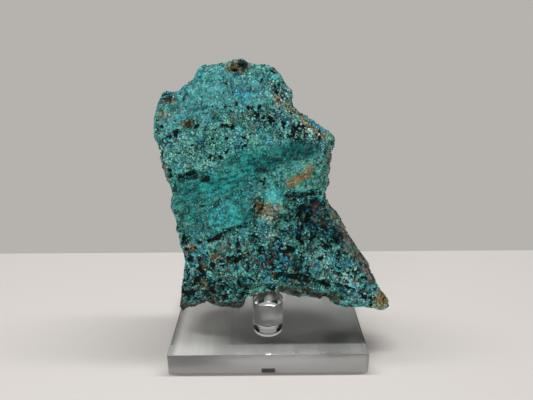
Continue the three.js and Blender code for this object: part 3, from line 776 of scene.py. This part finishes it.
def scatteredPlaces(piece):
    # places on the rock for crystals, kept apart, with their normals and half widths
    points, normals = coOf(piece), smoothed(piece, normalsOf(piece), 3)
    corners = np.empty(len(piece.data.polygons) * 3, np.int64)
    piece.data.polygons.foreach_get("vertices", corners)
    corners = corners.reshape(-1, 3)
    a, b, c = (points[corners[:, i]] for i in range(3))
    areas = np.linalg.norm(np.cross(b - a, c - a), axis=1) / 2
    shares = zoneShares(points, normals)
    thick = mixed(shares, "thick")[:, 0][corners].mean(axis=1)
    clump = 0.15 + ramp(layered(a.tolist(), crystals["clump"]), *crystals["clumping"])
    behind, fewer = crystals["behind"]
    weights = areas * thick * np.where(depthBehind(a[:, 1], a[:, 2]) < behind, 1, fewer) * clump
    chosen = chance.choice(len(corners), crystals["tries"], p=weights / weights.sum())
    u, v = np.sqrt(chance.random(len(chosen))), chance.random(len(chosen))
    parts = [(1 - u), u * (1 - v), u * v]
    place = sum(part[:, None] * points[corners[chosen, i]] for i, part in enumerate(parts))
    normal = sum(part[:, None] * normals[corners[chosen, i]] for i, part in enumerate(parts))
    normal /= np.linalg.norm(normal, axis=1)[:, None]
    half = crystals["smallest"] + crystals["swing"] * chance.random(len(chosen)) ** 1.5
    clear = pits(place, mixed(zoneShares(place, normal), "vugs")[:, 0]) < crystals["openPit"]
    place, normal, half = place[clear], normal[clear], half[clear]
    grid, kept, reach = {}, [], crystals["reach"]
    for i, (p, size) in enumerate(zip(place.tolist(), half.tolist())):
        cell = tuple(int(math.floor(value / reach)) for value in p)
        near = [
            j
            for dx in (-1, 0, 1) for dy in (-1, 0, 1) for dz in (-1, 0, 1)
            for j in grid.get((cell[0] + dx, cell[1] + dy, cell[2] + dz), ())
        ]
        room = crystals["spacing"] / 2
        if all(math.dist(p, place[j]) > room * (size + half[j]) for j in near):
            grid.setdefault(cell, []).append(i)
            kept.append(i)
    return place[kept], normal[kept], half[kept]


def toneOf(shares, place):
    # a tone for each crystal, drawn from a zone that is drawn by its share
    names = list(tones)
    weights = np.zeros((len(zones), len(names)))
    for row, zone in enumerate(zones):
        for name, weight in zone["crystals"].items():
            weights[row, names.index(name)] = weight
        weights[row] /= weights[row].sum()
    # neighbours tend to be alike, because the draw follows a wandering pattern, dark to light
    colours = np.array([paint(tones[name])[:3] for name in names])
    order = np.argsort(colours.sum(axis=1))
    total = (shares.T @ weights)[:, order].cumsum(axis=1)
    pattern = layered(place, crystals["pattern"])
    pattern = pattern + crystals["patternSwing"] * chance.standard_normal(len(place))
    draw = pattern.argsort().argsort() / len(place)
    drawn = (draw[:, None] * total[:, -1:] > total).sum(axis=1)
    drift = np.array([noise.noise_vector(Vector(p) / crystals["drift"])[:] for p in place])
    return colours[order][np.minimum(drawn, len(names) - 1)] * (1 + drift * crystals["driftSwing"])


def scatter(name, shape, place, normal, half, tone, kind):
    corners = np.array([vertex.co for vertex in shape.data.vertices])
    faces = np.array([face.vertices[:] for face in shape.data.polygons])
    count = len(place)
    tipped = normal + kind["lean"] * (chance.random((count, 3)) - 0.5) * 2
    tipped /= np.linalg.norm(tipped, axis=1)[:, None]
    side = np.cross(tipped, chance.random((count, 3)) - 0.5)
    side /= np.linalg.norm(side, axis=1)[:, None]
    turn = np.stack([side, np.cross(tipped, side), tipped], axis=2)
    stretch = 1 + 0.3 * (chance.random((count, 1, 3)) - 0.5)
    local = corners[None] * stretch * half[:, None, None]
    sunk = place - kind["sink"] * half[:, None] * normal
    placed = np.einsum("gij,gvj->gvi", turn, local) + sunk[:, None]
    joined = (faces[None] + (np.arange(count) * len(corners))[:, None, None]).reshape(-1, 3)
    mesh = bpy.data.meshes.new(name)
    mesh.from_pydata((placed.reshape(-1, 3) * mm).tolist(), [], joined.tolist())
    piece = bpy.data.objects.new(name, mesh)
    bpy.context.scene.collection.objects.link(piece)
    # darker at the foot, darkest in a ringlet's eye
    radius = np.hypot(corners[:, 0], corners[:, 1])
    shade = np.clip(0.72 + 0.4 * corners[:, 2], 0.35, 1)
    shade = np.where((radius < 0.6) & (corners[:, 2] < 0.3), kind["eye"], shade)
    swing = 0.65 + 0.7 * chance.random((count, 1, 1)) ** 1.4
    storeTint(piece, "tone", (tone[:, None] * swing * shade[None, :, None]).reshape(-1, 3))
    return piece


def crystalFinish():
    f = Finish("crystals")
    fine = f.clouds(0.35, 2)
    face = f.mix(f.step(fine, 0.42, 0.3) * 0.4, f.field("tone", "Color"), paint(tones["abyss"]))
    face = f.mix(f.step(fine, 0.58, 0.7) * 0.25, face, paint(tones["paleMint"]))
    bump = f.bump(fine, 0.06, 0.5)
    return f.surface(Base_Color=face, Roughness=0.5, Specular_IOR_Level=0.12, Normal=bump)


def makeCrystals():
    place, normal, half = scatteredPlaces(rockBody)
    shares = zoneShares(place, normal)
    tone, bare = toneOf(shares, place.tolist()), shares[stoneShare]
    tone = tone * (1 - crystals["soleShade"] * bare * ramp(place[:, 2], *rock["footShade"]))[:, None]
    silk = mixed(shares, "silk")[:, 0]
    half = half * (1 - crystals["silkShrink"] * silk)
    draw = chance.random(len(place))
    chips = chance.random(len(place)) < bare
    rings = ~chips & (draw < crystals["ringletShare"] * (1 - silk))
    nubs = ~chips & ~rings
    upper = place[:, 2] > crystals["split"]
    finish = crystalFinish()
    makers = {"ringlet": makeRinglet(), "nub": makeNub(), "chip": makeChip()}
    groups = [
        ("upperRinglets", "ringlet", rings & upper), ("lowerRinglets", "ringlet", rings & ~upper),
        ("crystalNubs", "nub", nubs), ("stoneChips", "chip", chips),
    ]
    for name, kind, wanted in groups:
        settings = crystals["kinds"][kind]
        parts = (place[wanted], normal[wanted], half[wanted], tone[wanted])
        piece = scatter(name, makers[kind], *parts, settings)
        piece.data.materials.append(finish)
        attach(piece, "root")
        print(name, "triangles", len(piece.data.polygons))
    for shape in makers.values():
        bpy.data.objects.remove(shape)


makeCrystals()


print("stand")
stand = {
    "width": 76, "depth": 51, "thickness": 8.5, "pegFromFront": 16, "edge": 0.15, "edgeSteps": 2,
    "pegRadius": 6, "pegHeight": 14.2, "gap": 0.06, "pegEdge": 0.12, "spigotRadius": 3.4, "spigotLength": 4,
    "sides": 96,
    # painted light on the top face, a whitish matte layer for the lighter strip along the front and the
    # lighter left: where it starts, is full, ends and fades, and its share
    "paintedLightFront": (-9.5, -10.5),
    "paintedLightLeft": (-4, -30, -39, -34, 0.78), "paintedLightRight": (28, 33, 38, 35, 0.06),
    "socketShadeWidth": (2.9, 2.4), "socketShadeHeight": (2.4, 1.9),  # the painted dark spot in the front face, painted shade for the socket seen through the sheet
}
acrylic = {
    "ior": 1.49, "sheet": (paint("dfe3e3"), 0.02), "rod": (paint("f4f7f7"), 0.03),  # tint, roughness
    "sawn": paint("cdcecf"), "paintedLight": paint("d8d7d4"), "socketShade": paint("16181b"),
}

dab = {"slim": (0.62, 0.12), "slimFrom": 22.8, "rough": (23.1, 23.6)}  # the last are heights


def makeBase():
    size = Vector((stand["width"], stand["depth"], stand["thickness"])) * mm
    middle = Vector((0, (stand["depth"] / 2 - stand["pegFromFront"]) * mm, size.z / 2))
    bpy.ops.mesh.primitive_cube_add(size=1, location=middle)
    base = bpy.context.object
    base.name = base.data.name = "baseBlock"
    base.scale = size
    applyPlace(base)
    bpy.ops.object.mode_set(mode="EDIT")
    bpy.ops.mesh.select_all(action="SELECT")
    bpy.ops.mesh.bevel(offset=stand["edge"] * mm, segments=stand["edgeSteps"], affect="EDGES")
    bpy.ops.object.mode_set(mode="OBJECT")
    depth = stand["spigotLength"] + stand["gap"]
    bpy.ops.mesh.primitive_cylinder_add(
        vertices=stand["sides"], radius=(stand["spigotRadius"] + stand["gap"]) * mm, depth=2 * depth * mm,
        location=(0, 0, size.z),
    )
    drill = bpy.context.object
    socket = base.modifiers.new("socket", "BOOLEAN")
    socket.operation = "DIFFERENCE"
    socket.object = drill
    pick(base)
    bpy.ops.object.modifier_apply(modifier=socket.name)
    bpy.data.objects.remove(drill)
    pick(base)
    bpy.ops.object.shade_smooth_by_angle(angle=math.radians(25))
    for finish in (acrylicFinish("acrylicSheet", "sheet"), sawnFinish(), topFinish()):
        base.data.materials.append(finish)
    for face in base.data.polygons:
        outside = max(abs(face.center.x) / size.x, abs(face.center.y - middle.y) / size.y) > 0.48
        face.material_index = 1 if outside and abs(face.normal.z) < 0.95 else 0
        if face.normal.z > 0.95 and face.center.z > size.z - 0.1 * mm:
            face.material_index = 2
    return base


def makePeg():
    foot = stand["thickness"] + stand["gap"]
    bpy.ops.mesh.primitive_cylinder_add(
        vertices=stand["sides"], radius=stand["pegRadius"] * mm, depth=stand["pegHeight"] * mm,
        location=(0, 0, (foot + stand["pegHeight"] / 2) * mm),
    )
    peg = bpy.context.object
    peg.name = peg.data.name = "pegRod"
    applyPlace(peg)
    selectFaces(peg, lambda face: abs(face.normal.z) > 0.9)
    bpy.ops.mesh.bevel(offset=stand["pegEdge"] * mm, segments=2, affect="EDGES")
    selectFaces(peg, lambda face: face.normal.z < -0.99 and face.area > 5e-5)
    bpy.ops.mesh.inset(thickness=(stand["pegRadius"] - stand["pegEdge"] - stand["spigotRadius"]) * mm)
    bpy.ops.mesh.extrude_region_move(TRANSFORM_OT_translate={"value": (0, 0, -stand["spigotLength"] * mm)})
    bpy.ops.object.mode_set(mode="OBJECT")
    bpy.ops.object.shade_smooth_by_angle(angle=math.radians(25))
    return peg


def makeDab():
    piece = copyOfNode("adhesive_dab", "adhesiveBlob")
    bpy.ops.object.mode_set(mode="EDIT")
    bpy.ops.mesh.subdivide(number_cuts=2, smoothness=0.5)
    bpy.ops.object.mode_set(mode="OBJECT")
    points = coOf(piece)
    middle = points.mean(axis=0)
    low, less = dab["slim"]
    slim = low - less * ramp(points[:, 2], dab["slimFrom"], points[:, 2].max())
    points[:, :2] = middle[:2] + (points[:, :2] - middle[:2]) * slim[:, None]
    moveTo(piece, points)
    swell(piece, "CLOUDS", 1.2, 0.2, ramp(points[:, 2], *dab["rough"]), middle=0.7)
    return piece


def acrylicFinish(name, kind):
    f, (tint, roughness) = Finish(name), acrylic[kind]
    return f.surface(Base_Color=tint, Roughness=roughness, IOR=acrylic["ior"], Transmission_Weight=1.0)


def topFinish():
    # the top face carries painted light, a faint whitish matte layer in streaks, strongest along the front
    # and on the left
    f = Finish("acrylicTop")
    place = f.place()
    x, y = (f.node("ShaderNodeSeparateXYZ", {}, {0: place}, output=side) for side in "XY")
    lightStreaks = f.clouds(4, 2, f.node("ShaderNodeMapping", {}, {"Vector": place, "Scale": (1, 0.1, 1)}))
    start, full = stand["paintedLightFront"]
    front = f.step(y, start * mm, full * mm) * (0.34 - 2.5 * x)
    left, right = (
        f.step(x, start * mm, full * mm) * f.step(x, end * mm, fade * mm) * most
        for start, full, end, fade, most in (stand["paintedLightLeft"], stand["paintedLightRight"])
    )
    share = ((f.maths("MAXIMUM", front, left) + right) * (0.8 + 0.4 * lightStreaks)).limit()
    tint, roughness = acrylic["sheet"]
    clear = f.node("ShaderNodeBsdfPrincipled", {}, {
        "Base Color": tint, "Roughness": roughness, "IOR": acrylic["ior"], "Transmission Weight": 1.0})
    paintedLight = f.node("ShaderNodeBsdfPrincipled", {}, {"Base Color": acrylic["paintedLight"], "Roughness": 0.6})
    either = f.node("ShaderNodeMixShader", {}, {0: share, 1: clear, 2: paintedLight})
    f.node("ShaderNodeOutputMaterial", {}, {"Surface": either}, output=None)
    return f.material


def adhesiveFinish():
    f = Finish("adhesive")
    tone = f.mix(f.step(f.clouds(1.2), 0.35, 0.65), paint("c9c7bf"), paint("eceae4"))
    return f.surface(Base_Color=tone, Roughness=0.3, IOR=1.45, Transmission_Weight=0.6)


def sawnFinish():
    # the sheet's cut sides are satin, with faint saw marks, and the front one carries a painted dark spot,
    # the socket's shade seen through it
    f = Finish("acrylicSides")
    place = f.place()
    marks = f.clouds(1.6, 3, f.node("ShaderNodeMapping", {}, {"Vector": place, "Scale": (1, 1, 0.08)}))
    x, y, z = (f.node("ShaderNodeSeparateXYZ", {}, {0: place}, output=side) for side in "XYZ")
    across = f.maths("ABSOLUTE", x, 0.0)
    width, height = ([edge * mm for edge in stand[name]] for name in ("socketShadeWidth", "socketShadeHeight"))
    # painted shade: the socket's dark image seen through the front face
    socketShade = f.step(across, *width) * f.step(z, *height) * f.step(y, 0, -2 * mm)
    return f.surface(
        Base_Color=f.mix(socketShade, acrylic["sawn"], acrylic["socketShade"]), Roughness=0.24 + 0.25 * marks,
        IOR=acrylic["ior"], Transmission_Weight=1.0, Normal=f.bump(marks, 0.05, 0.4),
    )


stands = [
    (makeBase(), "acrylic_base", "acrylic", None),
    (makePeg(), "acrylic_peg", "acrylic", acrylicFinish("acrylicRod", "rod")),
    (makeDab(), "adhesive_dab", "adhesive", adhesiveFinish()),
]
for piece, node, slotName, finish in stands:
    if finish:
        piece.data.materials.append(finish)
    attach(piece, "root")
    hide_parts(node)
